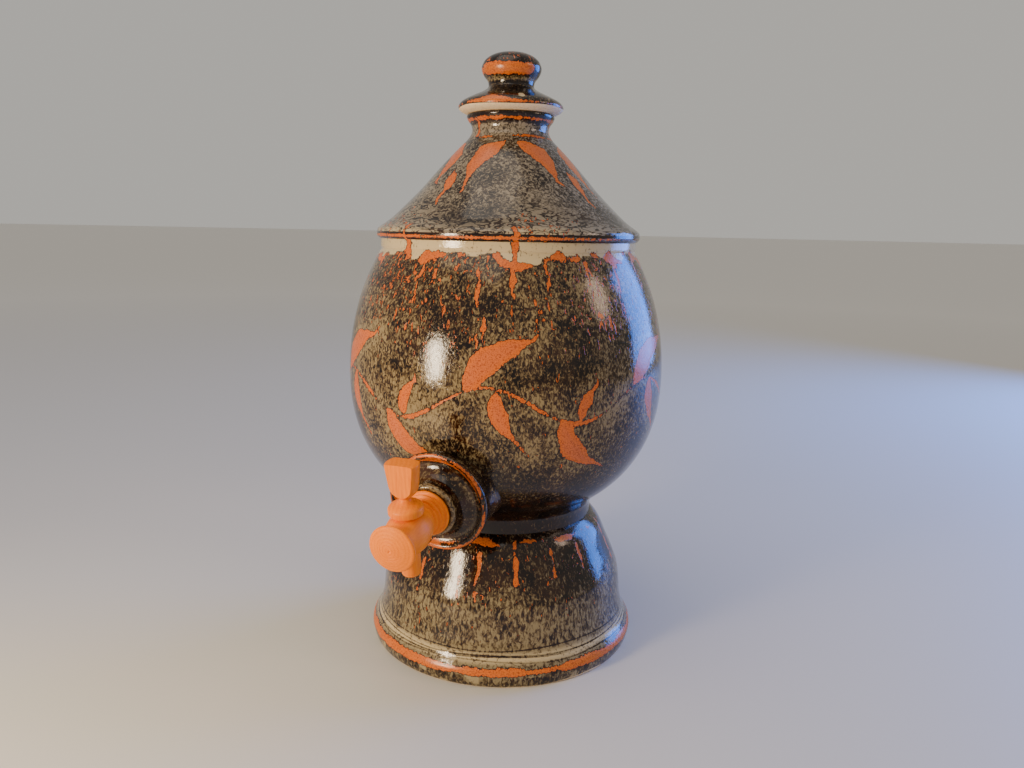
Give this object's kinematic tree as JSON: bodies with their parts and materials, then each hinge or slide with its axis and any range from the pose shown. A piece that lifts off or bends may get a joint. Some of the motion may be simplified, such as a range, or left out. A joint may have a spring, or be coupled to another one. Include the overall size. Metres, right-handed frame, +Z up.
{
  "type": "clay water pot with tap",
  "caption": "Glazed stoneware water urn on a bell pedestal, with a lift-off lid and a turned wooden tap whose key opens the outlet.",
  "frame": {"origin": "centre of the foot ring, in the plane it stands on", "axes": "+Z up along the pot's turned axis, -Y towards the side the tap points to, +X to the right of someone looking along +Y"},
  "size_m": [0.2148, 0.2751, 0.3995],
  "materials": {
    "pot_glaze": "glossy mottled black-brown and grey-green glaze breaking to rust orange",
    "lid_glaze": "glossy black-brown glaze, bare cream clay underneath",
    "tap_wood": "turned beech, fine lathe rings, thin oil",
    "washer_rubber": "dull red-brown rubber"
  },
  "bodies": {
    "pot": {"pedestal": "pot_glaze", "globe": "pot_glaze", "shoulder": "pot_glaze", "tap_boss": "pot_glaze", "tap_barrel": "tap_wood", "outer_washer": "washer_rubber", "inner_washer": "washer_rubber", "tap_nut": "tap_wood"},
    "lid": {"lid": "lid_glaze", "lid_knob": "lid_glaze"},
    "key": {"tap_key": "tap_wood"}
  },
  "joints": [
    {"name": "lid_lift", "type": "slide", "parent": "pot", "child": "lid", "axis": [0, 0, 1], "range_m": [0, 0.06]},
    {"name": "key_turn", "type": "hinge", "parent": "pot", "child": "key", "pos_m": [0, -0.14586, 0.12072], "axis": [0, -0.1616, 0.9869], "continuous": true}
  ]
}
